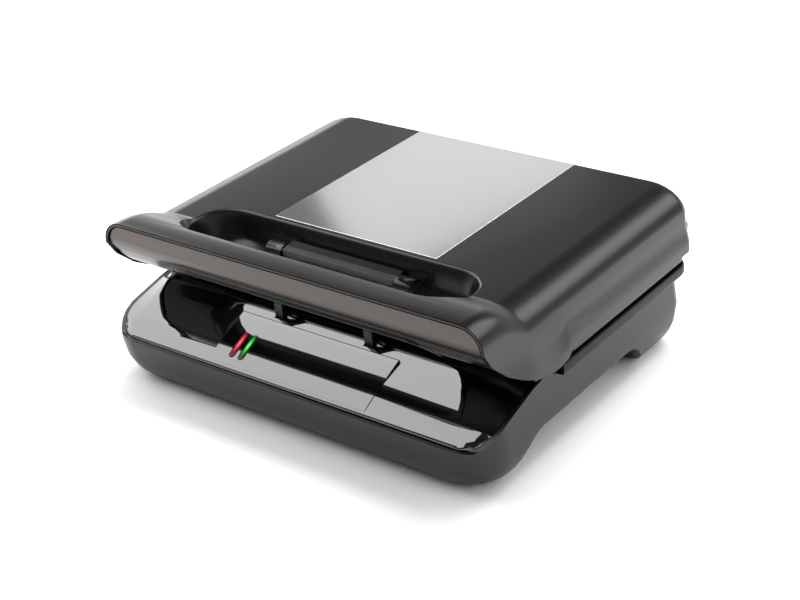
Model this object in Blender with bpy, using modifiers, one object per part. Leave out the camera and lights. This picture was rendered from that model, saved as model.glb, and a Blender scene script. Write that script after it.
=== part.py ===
"""Contact grill: a countertop cooker with a hinged, floating lid.

Metres, +Z up. X runs along the hinge, -Y is the front, and the origin is under
the middle of the grill on the surface that it stands on.
"""
import math

import bmesh
import bpy
from mathutils import Matrix, Vector

MM = 0.001

# Overall size
WIDTH = 290.0 * MM
DEPTH = 231.5 * MM
LIP_TOP = 104.0 * MM
HALF = WIDTH / 2
FRONT = -DEPTH / 2
BACK = DEPTH / 2

# Clearances and cutting
GAP = 0.3 * MM
SEAM = 0.5 * MM
OVERRUN = 5.0 * MM

# Base housing
HOUSING_INSET = 1.2 * MM
HOUSING_BACK_SETBACK = 16.0 * MM
HOUSING_WALL = 2.6 * MM
HOUSING_TOP = 44.1 * MM
FOOT_ROLL = 13.5 * MM
FOOT_ROLL_HEIGHT = 26.0 * MM
BACK_ROLL = 5.5 * MM
REAR_TAPER = 2.0 * MM
WALL_LEAN = 3.5 * MM
FRONT_CORNER = 24.0 * MM
BACK_CORNER = 12.0 * MM
PAD_DROP = 1.2 * MM
ARCH_HEIGHT = 22.4 * MM
ARCH_FRONT = FRONT + 83.75 * MM
ARCH_BACK = BACK - 57.75 * MM
ARCH_RUN = 26.0 * MM
REAR_FOOT_LENGTH = 38.0 * MM
roll_shares = (0.0, 0.04, 0.1, 0.2, 0.34, 0.56, 1.0)

# Rim of the housing beside the fascia
FRONT_SEAM_HEIGHT = 30.0 * MM
RIM_RUN = 76.0 * MM
RIM_RISE = 21.0 * MM
rim_shares = ((0.0, 0.0), (0.06, -0.01), (0.115, 0.12), (0.19, 0.3), (0.32, 0.51), (0.49, 0.67),
              (0.68, 0.84), (1.0, 1.0))

# Base deck
DECK_TOP = 51.5 * MM
DECK_WALL = 2.6 * MM
DECK_EDGE = 7.6 * MM
BAND_HEIGHT = 7.0 * MM
DECK_MARGIN = 9.0 * MM
DECK_SIDE_MARGIN = 11.5 * MM
BAND_BACK_SETBACK = 9.75 * MM
BAND_ROUND = 1.4 * MM
FASCIA_RUN = 50.0 * MM
FASCIA_SIDE = 24.0 * MM
fascia_shares = ((0.0, 0.0), (0.06, 0.1), (0.15, 0.204), (0.22, 0.285), (0.295, 0.372), (0.335, 0.414),
                 (0.375, 0.45), (0.45, 0.514), (0.56, 0.609), (0.63, 0.669), (0.7, 0.729), (0.8, 0.816),
                 (0.9, 0.906), (1.0, 1.0))
PANEL_WIDTH = 118.0 * MM
PANEL_PROUD = 1.4 * MM
panel_shares = ((0.1, -0.15), (0.2, 0.1), (0.295, 0.2), (0.335, 0.25), (0.375, 0.3), (0.45, 0.42),
                (0.56, 0.6), (0.7, 0.9), (0.77, 1.0), (0.79, 0.6), (0.8, -0.3))

# Grill plates
PLATE_WIDTH = WIDTH - 2 * 30.0 * MM
PLATE_FRONT = FRONT + 55.75 * MM
PLATE_BACK = BACK - 27.75 * MM
PLATE_DEPTH = PLATE_BACK - PLATE_FRONT
PLATE_MIDDLE = (PLATE_BACK + PLATE_FRONT) / 2
PLATE_THICK = 3.0 * MM
PLATE_RIM = 5.0 * MM
PLATE_HEIGHT = 5.6 * MM
RIB_HEIGHT = 2.4 * MM
RIB_FOOT = 5.0 * MM
RIB_CREST = 2.6 * MM
RIB_COUNT = 17
PLATE_SEAT = 0.5 * MM
DRIP_CHANNEL = 7.0 * MM
BOSS_RADIUS = 4.0 * MM
BOSS_LENGTH = 7.0 * MM
BOSS_INSET_X = 22.0 * MM
BOSS_INSET_Y = 30.0 * MM
COLLAR_WALL = 2.5 * MM

# Heating elements, heat shields and what they carry
ELEMENT_RADIUS = 3.2 * MM
ELEMENT_SPREAD = PLATE_WIDTH - 2 * 40.0 * MM
ELEMENT_REACH = PLATE_DEPTH - 2 * 26.0 * MM
ELEMENT_BEND = 24.0 * MM
ELEMENT_TAIL = 4.0 * MM
SHIELD_THICK = 0.8 * MM
SHIELD_MARGIN = 6.0 * MM
SHIELD_FLANGE = 1.0 * MM
SHIELD_DEPTH = 11.0 * MM
SHIELD_CORNER = 8.0 * MM
THERMOSTAT_RADIUS = 8.0 * MM
THERMOSTAT_HEIGHT = 6.5 * MM
FUSE_RADIUS = 2.2 * MM
FUSE_LENGTH = 16.0 * MM
SCREW_RADIUS = 1.6 * MM
SCREW_HEAD_RADIUS = 3.2 * MM
SCREW_HEAD_HEIGHT = 1.8 * MM
SCREW_PILOT_DEPTH = 5.0 * MM
SCREW_REACH = 7.0 * MM
THERMOSTAT_X = 26.0 * MM

# Lid shell
LID_TOP = 95.2 * MM
LID_SEAM = 57.0 * MM
LID_SIDE_INSET = 3.5 * MM
LID_BACK_SETBACK = 3.75 * MM
LID_WALL = 2.5 * MM
LID_SHOULDER = 23.0 * MM
LID_BACK_CORNER = 9.0 * MM
LID_BACK_EDGE = 2.6 * MM
shoulder_rise_share = 0.7
LID_FLOOR = 50.0 * MM
LIP_SETBACK = 10.25 * MM
LIP_RUN = 42.0 * MM
LIP_CORNER = 15.0 * MM
CHIN_BOTTOM = 51.3 * MM
CHIN_RUN = 76.5 * MM
FLARE_HEIGHT = 18.0 * MM
FLARE_BLEND = 14.0 * MM
TAIL_CORNER = 16.5 * MM
LIP_NARROW = 1.5 * MM
lip_shares = ((0.0, 1.0), (0.12, 0.995), (0.27, 0.965), (0.42, 0.88), (0.56, 0.73), (0.7, 0.5),
              (0.82, 0.26), (0.92, 0.08), (1.0, 0.0))
chin_shares = ((0.0, 0.715), (0.085, 0.517), (0.25, 0.296), (0.395, 0.16), (0.53, 0.075), (0.65, 0.024),
               (0.82, 0.0), (0.94, 0.03), (1.0, 0.115))

# Handle pocket in the lid, open to below behind the lip
POCKET_FRONT = FRONT + 31.75 * MM
POCKET_BACK = FRONT + 74.75 * MM
POCKET_HALF = HALF - 43.0 * MM
POCKET_FLOOR = 74.0 * MM
POCKET_CORNER = 20.0 * MM
POCKET_FOOT = 61.0 * MM
POCKET_FALL = 46.0 * MM
POCKET_SHIFT = 25.0 * MM
POCKET_RIM = 1.6 * MM
POCKET_FLARE = 6.0 * MM
well_shares = ((0.0, 0.0, 0.0, 0.0, 0.0), (0.087, 0.06, 0.05, 0.05, 0.0), (0.165, 0.2, 0.08, 0.08, 0.0),
               (0.252, 0.38, 0.12, 0.12, 0.0), (0.296, 0.48, 0.144, 0.144, 0.0),
               (0.339, 0.56, 0.176, 0.2, 0.2), (0.396, 0.6, 0.2, 0.296, 0.6), (0.426, 0.6, 0.216, 0.48, 1.0),
               (0.443, 0.6, 0.224, 0.76, 1.0), (0.47, 0.6, 0.232, 0.916, 0.6), (0.535, 0.6, 0.24, 0.936, 0.0),
               (0.774, 0.6, 0.26, 0.968, 0.0), (1.0, 0.6, 0.26, 0.976, 0.0))
flare_shares = ((0.09, 0.0, 0.08, 0.07), (0.154, 0.02, 0.25, 0.26), (0.35, 0.06, 0.45, 0.5),
                (0.55, 0.18, 0.62, 0.8), (0.73, 0.42, 0.8, 1.0), (0.87, 0.75, 1.0, 1.1),
                (1.0, 1.4, 1.35, 1.2))

# Latch lever in the pocket
LEVER_Y = FRONT + 64.75 * MM
LEVER_Z = 80.0 * MM
LEVER_HALF = 42.0 * MM
LEVER_HUB = 4.0 * MM
LEVER_PIN = 1.5 * MM
LEVER_LEG_X = 34.0 * MM
LEVER_LEG_WIDTH = 6.0 * MM
LEVER_THICK = 3.0 * MM
CHEEK_RADIUS = 6.4 * MM
CHEEK_THICK = 12.0 * MM
PADDLE_FRONT = 4.4 * MM
PADDLE_BACK = 6.6 * MM
PADDLE_RISE = 4.6 * MM
LEG_REACH = 21.9 * MM
LEG_DROP = 33.3 * MM
leg_shares = ((-0.07, 0.045), (-0.32, -0.066), (-0.616, -0.24), (-1.0, -0.66), (-1.0, -1.0),
              (-0.67, -0.99), (-0.67, -0.925), (-0.863, -0.87), (-0.863, -0.66), (-0.48, -0.255),
              (-0.205, -0.12), (0.07, -0.045))
LEVER_SIDE_PLAY = 0.8 * MM
SLOT_FRONT = LEVER_Y - 22.4 * MM
SLOT_BACK = LEVER_Y - 11.6 * MM

# Lid bezel
BEZEL_WALL = 2.5 * MM
NOSE_SETBACK = 1.0 * MM
nose_shares = ((0.0, 0.76), (0.01, 0.7), (0.04, 0.62), (0.085, 0.525), (0.16, 0.405), (0.25, 0.305),
               (0.33, 0.225), (0.395, 0.175))
BEZEL_PAD = 58.0 * MM
BEZEL_FRAME_BOTTOM = 52.0 * MM
BEZEL_FRAME_BACK = BACK - 11.75 * MM
BEZEL_SIDE_INSET = 1.6 * MM
FRAME_BOSS_TOP = 56.4 * MM

# Metal inlay on the lid
INLAY_WIDTH = 121.0 * MM
INLAY_FRONT = FRONT + 78.25 * MM
INLAY_THICK = 0.8 * MM
INLAY_PROUD = 0.2 * MM
INLAY_TURN = 75.0

# Floating hinge
HINGE_Y = BACK - 7.75 * MM
HINGE_Z = 56.0 * MM
HINGE_X = HALF - 62.5 * MM
HINGE_EYE = 4.2 * MM
HINGE_PIN = 2.0 * MM
ARM_WIDTH = 12.0 * MM
ARM_THICK = 6.0 * MM
FLOAT_TRAVEL = 12.0 * MM
STOP_PIN = 1.8 * MM
TOWER_WALL = 2.6 * MM
TOWER_SIDE = 5.0 * MM
TOWER_TOP = 50.4 * MM
EAR_THICK = 4.4 * MM
EAR_REACH = 12.0 * MM
NOTCH_HALF = 12.0 * MM
NOTCH_TOP = 68.5 * MM

# Indicator lamps
LENS_LENGTH = 18.5 * MM
LENS_WIDTH = 4.2 * MM
LENS_HEIGHT = 5.0 * MM
LENS_PROUD = 0.7 * MM
LENS_X = PANEL_WIDTH / 2 - 17.2 * MM
LENS_PITCH = 7.0 * MM
LENS_Y = FRONT + 17.95 * MM
BOARD_WIDTH = 34.0 * MM
BOARD_DEPTH = 20.0 * MM
BOARD_THICK = 1.6 * MM
LAMP_RADIUS = 2.4 * MM
LAMP_LENGTH = 12.0 * MM

# Rubber feet, inlet and wiring
PAD_RADIUS = 5.5 * MM
PAD_HEIGHT = 2.4 * MM
PAD_FRONT_X = HALF - 32.0 * MM
PAD_FRONT_Y = FRONT + 22.75 * MM
PAD_BACK_X = HALF - 27.0 * MM
PAD_BACK_Y = BACK - 46.75 * MM
INLET_X = 35.0 * MM - HALF
INLET_Z = 33.0 * MM
INLET_RADIUS = 6.0 * MM
INLET_FLANGE = 8.0 * MM
INLET_BORE = 3.6 * MM
INLET_LENGTH = 9.0 * MM
INLET_RIM = 3.0 * MM
BLOCK_WIDTH = 26.0 * MM
BLOCK_DEPTH = 14.0 * MM
BLOCK_HEIGHT = 6.5 * MM
BLOCK_HOLE = 2.2 * MM
BLOCK_X = -60.0 * MM
BLOCK_Y = 20.0 * MM

HOUSING_HALF = HALF - HOUSING_INSET
HOUSING_BACK = BACK - HOUSING_BACK_SETBACK
HOUSING_FLOOR = ARCH_HEIGHT + HOUSING_WALL
BAND_BACK = BACK - BAND_BACK_SETBACK
BAND_FRONT = FRONT + RIM_RUN + GAP
LID_HALF = HALF - LID_SIDE_INSET
LID_BACK = BACK - LID_BACK_SETBACK
LIP_FRONT = FRONT + LIP_SETBACK
LOWER_PLATE_TOP = DECK_TOP - PLATE_SEAT
MATING = (DECK_TOP + BEZEL_FRAME_BOTTOM) / 2
LOWER_SEAT = LOWER_PLATE_TOP - PLATE_HEIGHT
ARM_BOTTOM = ARCH_HEIGHT + TOWER_WALL + GAP

parts = bpy.data.collections.new("contact_grill")
cutters = bpy.data.collections.new("cutters")


def clear_scene():
    """Removes the start-up objects and adds the two collections."""
    for item in list(bpy.data.objects):
        bpy.data.objects.remove(item)
    for group in (parts, cutters):
        bpy.context.scene.collection.children.link(group)


def finish(name, colour, roughness, metallic=0.0, alpha=1.0):
    """One Principled material for a piece."""
    material = bpy.data.materials.new(name)
    material.use_nodes = True
    shader = material.node_tree.nodes["Principled BSDF"]
    shader.inputs["Base Color"].default_value = (*colour, 1.0)
    shader.inputs["Roughness"].default_value = roughness
    shader.inputs["Metallic"].default_value = metallic
    shader.inputs["Alpha"].default_value = alpha
    return material


def as_object(name, shape, material=None):
    """Makes a mesh object: a part where it has a material, and a cutter where it has none."""
    shape.normal_update()
    bmesh.ops.recalc_face_normals(shape, faces=shape.faces)
    mesh = bpy.data.meshes.new(name)
    shape.to_mesh(mesh)
    shape.free()
    item = bpy.data.objects.new(name, mesh)
    if material is None:
        cutters.objects.link(item)
        item.hide_render = True
        item.display_type = "WIRE"
    else:
        parts.objects.link(item)
        mesh.materials.append(material)
        mesh.shade_smooth()
        mesh.set_sharp_from_angle(angle=math.radians(35))
    return item


def flat(face):
    """Whether the four corners of a face lie in one plane."""
    a, b, c, d = [corner.co for corner in face.verts]
    across = (b - a).cross(c - a)
    return across.length == 0.0 or abs((d - a).dot(across.normalized())) < GAP / 1000


def loft(name, rings, material=None, open_end=False):
    """Joins closed rings of as many points each, with a cap on the first and, unless open, the last."""
    shape = bmesh.new()
    rows = [[shape.verts.new(point) for point in ring] for ring in rings]
    count = len(rows[0])
    for low, high in zip(rows, rows[1:]):
        for i in range(count):
            j = (i + 1) % count
            shape.faces.new((low[i], low[j], high[j], high[i]))
    shape.faces.new(rows[0])
    if not open_end:
        shape.faces.new(rows[-1])
    bent = [face for face in shape.faces if len(face.verts) == 4 and not flat(face)]
    bmesh.ops.triangulate(shape, faces=bent)
    return as_object(name, shape, material)


def slab(name, points, half_width, material=None, middle=0.0, lengthwise=False):
    """A (y, z) outline made thick along X, or an (x, z) outline made thick along Y."""
    curve = bpy.data.curves.new(name, "CURVE")
    curve.dimensions = "2D"
    curve.fill_mode = "BOTH"
    curve.extrude = half_width
    spline = curve.splines.new("POLY")
    spline.points.add(len(points) - 1)
    for point, (across, z) in zip(spline.points, points):
        point.co = (across, z, 0.0, 1.0)
    spline.use_cyclic_u = True
    if lengthwise:
        place = Matrix(((1, 0, 0, 0), (0, 0, 1, middle), (0, 1, 0, 0), (0, 0, 0, 1)))
    else:
        place = Matrix(((0, 0, 1, middle), (1, 0, 0, 0), (0, 1, 0, 0), (0, 0, 0, 1)))
    return meshed(name, curve, place, material)


def meshed(name, curve, place, material=None):
    """Turns a curve into a welded mesh object at its place."""
    draft = bpy.data.objects.new(name, curve)
    bpy.context.scene.collection.objects.link(draft)
    evaluated = draft.evaluated_get(bpy.context.evaluated_depsgraph_get())
    mesh = bpy.data.meshes.new_from_object(evaluated)
    shape = bmesh.new()
    shape.from_mesh(mesh)
    bmesh.ops.remove_doubles(shape, verts=shape.verts, dist=GAP / 100)
    bmesh.ops.transform(shape, matrix=place, verts=shape.verts)
    bpy.data.objects.remove(draft)
    bpy.data.meshes.remove(mesh)
    return as_object(name, shape, material)


def tube(name, points, radius, material=None):
    """A wire or rod along straight runs, with filled ends."""
    curve = bpy.data.curves.new(name, "CURVE")
    curve.dimensions = "3D"
    curve.bevel_depth = radius
    curve.bevel_resolution = 2
    curve.use_fill_caps = True
    spline = curve.splines.new("POLY")
    spline.points.add(len(points) - 1)
    for point, place in zip(spline.points, points):
        point.co = (*place, 1.0)
    return meshed(name, curve, Matrix.Identity(4), material)


def box(name, low, high, material=None):
    """A box between two corners."""
    shape = bmesh.new()
    bmesh.ops.create_cube(shape, size=1.0)
    size = Vector(high) - Vector(low)
    place = Matrix.Translation((Vector(high) + Vector(low)) / 2) @ Matrix.Diagonal((*size, 1.0))
    bmesh.ops.transform(shape, matrix=place, verts=shape.verts)
    return as_object(name, shape, material)


def rod(name, radius, start, end, material=None, sides=24):
    """A cylinder between two points."""
    shape = bmesh.new()
    run = Vector(end) - Vector(start)
    turn = Vector((0, 0, 1)).rotation_difference(run).to_matrix().to_4x4()
    place = Matrix.Translation((Vector(start) + Vector(end)) / 2) @ turn
    bmesh.ops.create_cone(shape, cap_ends=True, segments=sides, radius1=radius, radius2=radius,
                          depth=run.length, matrix=place)
    return as_object(name, shape, material)


def boolean(item, other, operation):
    """Adds one exact Boolean with a hidden operand."""
    step = item.modifiers.new(operation.lower() + "_" + other.name, "BOOLEAN")
    step.operation = operation
    step.solver = "EXACT"
    step.object = other


def cut(item, *others):
    for other in others:
        boolean(item, other, "DIFFERENCE")


def join(item, *others):
    for other in others:
        boolean(item, other, "UNION")


def keep(item, other):
    boolean(item, other, "INTERSECT")


def outline(half, front, back, front_radius, back_radius, z, steps=6):
    """A level rounded rectangle, counter-clockwise from the front right corner."""
    corners = ((half - front_radius, front + front_radius, front_radius, -90),
               (half - back_radius, back - back_radius, back_radius, 0),
               (back_radius - half, back - back_radius, back_radius, 90),
               (front_radius - half, front + front_radius, front_radius, 180))
    ring = []
    for centre_x, centre_y, radius, start in corners:
        for i in range(steps + 1):
            angle = math.radians(start + 90 * i / steps)
            ring.append((centre_x + radius * math.cos(angle), centre_y + radius * math.sin(angle), z))
    return ring


def along(shares, t):
    """Reads a table of (share along, share up) at t."""
    for (t0, v0), (t1, v1) in zip(shares, shares[1:]):
        if t <= t1:
            return v0 + (v1 - v0) * (t - t0) / (t1 - t0)
    return shares[-1][1]


def rim_height(y):
    """Height of the housing's rim at a place along the side."""
    return FRONT_SEAM_HEIGHT + RIM_RISE * along(rim_shares, (y - FRONT) / RIM_RUN)


def fascia_height(x, y):
    """Height of the deck's upper face, which falls to the rim at both sides of the fascia."""
    rise = (DECK_TOP - FRONT_SEAM_HEIGHT) * along(fascia_shares, (y - FRONT) / FASCIA_RUN)
    middle = FRONT_SEAM_HEIGHT + rise
    side = min(max((abs(x) - (HALF - FASCIA_SIDE)) / (FASCIA_SIDE - OVERRUN), 0.0), 1.0)
    blend = side * side * (3 - 2 * side)
    edge = min(rim_height(y), DECK_TOP)
    if y > FRONT + RIM_RUN:
        edge = DECK_TOP
    return middle + (edge - middle) * blend


def lean(z):
    """How far the side walls of the housing lean in at a height."""
    share = (z - FRONT_SEAM_HEIGHT) / (DECK_TOP - FRONT_SEAM_HEIGHT)
    return WALL_LEAN * min(max(share, 0.0), 1.0)


def housing_rings(offset):
    """Level outlines of the housing, rolled in towards the feet and leaning in above them."""
    rings = []
    for share in roll_shares:
        z = PAD_DROP + offset + share * FOOT_ROLL_HEIGHT
        roll = 1 - math.sqrt(1 - (1 - share) ** 2)
        taper = REAR_TAPER * (1 - share * FOOT_ROLL_HEIGHT / HOUSING_TOP)
        inset = FOOT_ROLL * roll + offset
        rings.append(outline(HOUSING_HALF - inset - lean(z), FRONT + inset,
                             HOUSING_BACK - offset - BACK_ROLL * roll - taper,
                             FRONT_CORNER - offset, BACK_CORNER - offset, z))
    for z in (DECK_TOP, DECK_TOP + OVERRUN):
        rings.append(outline(HOUSING_HALF - offset - lean(z), FRONT + offset, HOUSING_BACK - offset,
                             FRONT_CORNER - offset, BACK_CORNER - offset, z))
    return rings


def arch_outline(grow):
    """Side view of the space under the base, between the front skirt and the rear feet."""
    steps = 6
    foot = PAD_DROP - OVERRUN
    points = [(ARCH_BACK + grow, foot), (ARCH_FRONT - ARCH_RUN - ARCH_RUN - grow, foot)]
    for i in range(steps + 1):
        t = i / steps
        rise = PAD_DROP + (ARCH_HEIGHT - PAD_DROP + grow) * (1 - (1 - t) ** 2)
        points.append((ARCH_FRONT - ARCH_RUN - ARCH_RUN * (1 - t) - grow, rise))
    for i in range(steps + 1):
        t = i / steps
        rise = PAD_DROP + (ARCH_HEIGHT - PAD_DROP + grow) * (1 - t ** 2)
        points.append((ARCH_BACK - ARCH_RUN * (1 - t) + grow, rise))
    return points


def under_rear(name, grow):
    """The space between the two rear feet."""
    half = HALF - REAR_FOOT_LENGTH + grow
    return box(name, (-half, 0.0, PAD_DROP - OVERRUN), (half, BACK + OVERRUN, ARCH_HEIGHT + grow))


def screw(name, x, y, seat_z, tip_z, material):
    """One upright screw: its head rests on the seat, and its shank runs to the tip."""
    up = math.copysign(1.0, tip_z - seat_z)
    body = rod(name, SCREW_RADIUS, (x, y, seat_z - up * SCREW_HEAD_HEIGHT / 2), (x, y, tip_z), material,
               sides=10)
    join(body, rod(name + "_head", SCREW_HEAD_RADIUS, (x, y, seat_z), (x, y, seat_z - up * SCREW_HEAD_HEIGHT),
                   sides=14))
    return body


def merged(name, pieces):
    """Puts cutters that don't touch in one object."""
    shape = bmesh.new()
    graph = bpy.context.evaluated_depsgraph_get()
    for piece in pieces:
        shape.from_object(piece, graph)
        bpy.data.objects.remove(piece)
    return as_object(name, shape)


def tower_box(name, side, grow, top):
    """The upright housing of one hinge arm."""
    half = ARM_WIDTH / 2 + TOWER_SIDE + grow
    back = HINGE_Y + ARM_THICK / 2 + GAP + TOWER_WALL + grow
    front = HINGE_Y - ARM_THICK / 2 - GAP - TOWER_WALL - TOWER_SIDE
    x = side * HINGE_X
    return box(name, (x - half, front, ARCH_HEIGHT - grow), (x + half, back, top))


def arm_channel(name, side):
    """The upright hole that one hinge arm slides in."""
    half = ARM_WIDTH / 2 + GAP
    x = side * HINGE_X
    return box(name, (x - half, HINGE_Y - ARM_THICK / 2 - GAP, ARCH_HEIGHT + TOWER_WALL),
               (x + half, HINGE_Y + ARM_THICK / 2 + GAP, TOWER_TOP + OVERRUN))


def pad_places():
    """Names and places of the four rubber feet."""
    return (("front_left", -PAD_FRONT_X, PAD_FRONT_Y), ("front_right", PAD_FRONT_X, PAD_FRONT_Y),
            ("rear_left", -PAD_BACK_X, PAD_BACK_Y), ("rear_right", PAD_BACK_X, PAD_BACK_Y))


def plate_corners():
    """Places of the four screws that hold a grill plate."""
    x = PLATE_WIDTH / 2 - BOSS_INSET_X
    reach = PLATE_DEPTH / 2 - BOSS_INSET_Y
    return [(sx * x, PLATE_MIDDLE + sy * reach) for sx in (-1, 1) for sy in (-1, 1)]


def deck_screw_places():
    """Places of the screws that join the housing and the deck, outside the grill plate."""
    x = HALF - DECK_MARGIN - SCREW_HEAD_RADIUS - OVERRUN
    return [(side * x, y) for side in (-1, 1) for y in (ARCH_FRONT, -ARCH_FRONT - OVERRUN)]


def make_base_housing():
    plastic = finish("satin_dark_plastic", (0.045, 0.043, 0.043), 0.42)
    housing = loft("base_housing", housing_rings(0.0), plastic)
    cut(housing, slab("arch", arch_outline(0.0), HALF + OVERRUN), under_rear("rear_gap", 0.0))
    cavity = loft("housing_cavity", housing_rings(HOUSING_WALL))
    cut(cavity, slab("arch_wall", arch_outline(HOUSING_WALL), HALF + OVERRUN),
        under_rear("rear_gap_wall", HOUSING_WALL))
    cut(housing, cavity)
    rim = [(FRONT + RIM_RUN * t, FRONT_SEAM_HEIGHT + RIM_RISE * v) for t, v in rim_shares]
    above = [(FRONT - OVERRUN, FRONT_SEAM_HEIGHT)] + rim
    above += [(rim[-1][0], HOUSING_TOP), (BACK + OVERRUN, HOUSING_TOP), (BACK + OVERRUN, LIP_TOP),
              (FRONT - OVERRUN, LIP_TOP)]
    cut(housing, slab("above_rim", above, HALF + OVERRUN))
    for side, word in ((-1, "left"), (1, "right")):
        join(housing, tower_box("tower_" + word, side, 0.0, TOWER_TOP))
        cut(housing, arm_channel("channel_" + word, side))
        cut(housing, stop_pin("stop_hole_" + word, side, STOP_PIN + GAP, OVERRUN))
    for word, x, y in pad_places():
        cut(housing, rod("pad_seat_" + word, PAD_RADIUS + GAP, (x, y, -OVERRUN), (x, y, PAD_HEIGHT + GAP)))
    for i, (x, y) in enumerate(deck_screw_places()):
        cut(housing, rod("screw_hole_%d" % i, SCREW_RADIUS + GAP, (x, y, ARCH_HEIGHT - OVERRUN),
                         (x, y, HOUSING_FLOOR + OVERRUN), sides=12))
    cut(housing, rod("inlet_hole", INLET_RADIUS + GAP, (INLET_X, HOUSING_BACK - OVERRUN - OVERRUN, INLET_Z),
                     (INLET_X, BACK + OVERRUN, INLET_Z)))
    return housing


def stop_pin(name, side, radius, overrun, material=None):
    """The pin across a hinge tower that ends the float of its arm."""
    back = HINGE_Y + ARM_THICK / 2 + GAP + TOWER_WALL
    front = HINGE_Y - ARM_THICK / 2 - GAP - TOWER_WALL
    z = ARM_BOTTOM + FLOAT_TRAVEL + ARM_THICK
    return rod(name, radius, (side * HINGE_X, front, z), (side * HINGE_X, back + overrun, z), material,
               sides=14)


def deck_surface(name, drop, half, front, back, upper):
    """The space above, or below, the deck's upper face lowered by drop."""
    sides = [s * half for s in (-1.0, -0.97, -0.93, -0.885, -0.84, 0.84, 0.885, 0.93, 0.97, 1.0)]
    rows = [FRONT + FASCIA_RUN * t for t, _ in fascia_shares]
    rows += [FRONT + RIM_RUN * t for t in (0.78, 0.9, 1.0)] + [BAND_FRONT + GAP]
    rows = [front] + [y for y in rows if front < y < back] + [back]
    far = LIP_TOP if upper else -OVERRUN
    rings = []
    for x in sides:
        ring = [(x, y, fascia_height(x, max(y, FRONT)) - drop) for y in rows]
        rings.append(ring + [(x, back, far), (x, front, far)])
    return loft(name, rings)


def plate_opening(name, grow, low, high):
    """The rectangle of the grill plate's opening."""
    return box(name, (-PLATE_WIDTH / 2 - grow, PLATE_FRONT - grow, low),
               (PLATE_WIDTH / 2 + grow, PLATE_BACK + grow, high))


def latch_slot(name, side, front, back, low, high):
    """A slot that one leg of the latch lever passes through."""
    half = LEVER_LEG_WIDTH / 2 + LEVER_SIDE_PLAY
    x = side * LEVER_LEG_X
    return box(name, (x - half, front, low), (x + half, back, high))


def lens_place(x):
    """Where a lens lies in the raised panel, tilted to its slope."""
    t = (LENS_Y - FRONT) / FASCIA_RUN
    step = LENS_LENGTH / 2
    heights = [fascia_height(x, LENS_Y + s * step)
               + PANEL_PROUD * along(panel_shares, t + s * step / FASCIA_RUN) for s in (-1, 1)]
    slope = math.atan2(heights[1] - heights[0], LENS_LENGTH)
    middle = Vector((x, LENS_Y, (heights[0] + heights[1]) / 2))
    return Matrix.Translation(middle) @ Matrix.Rotation(slope, 4, "X")


def pill(name, place, grow, low, high, material=None):
    """A round-ended bar standing on a lens's place."""
    half = LENS_WIDTH / 2 + grow
    reach = LENS_LENGTH / 2 + grow
    rings = [[place @ Vector(p) for p in outline(half, -reach, reach, half * 0.98, half * 0.98, z, 5)]
             for z in (low, high)]
    return loft(name, rings, material)


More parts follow.
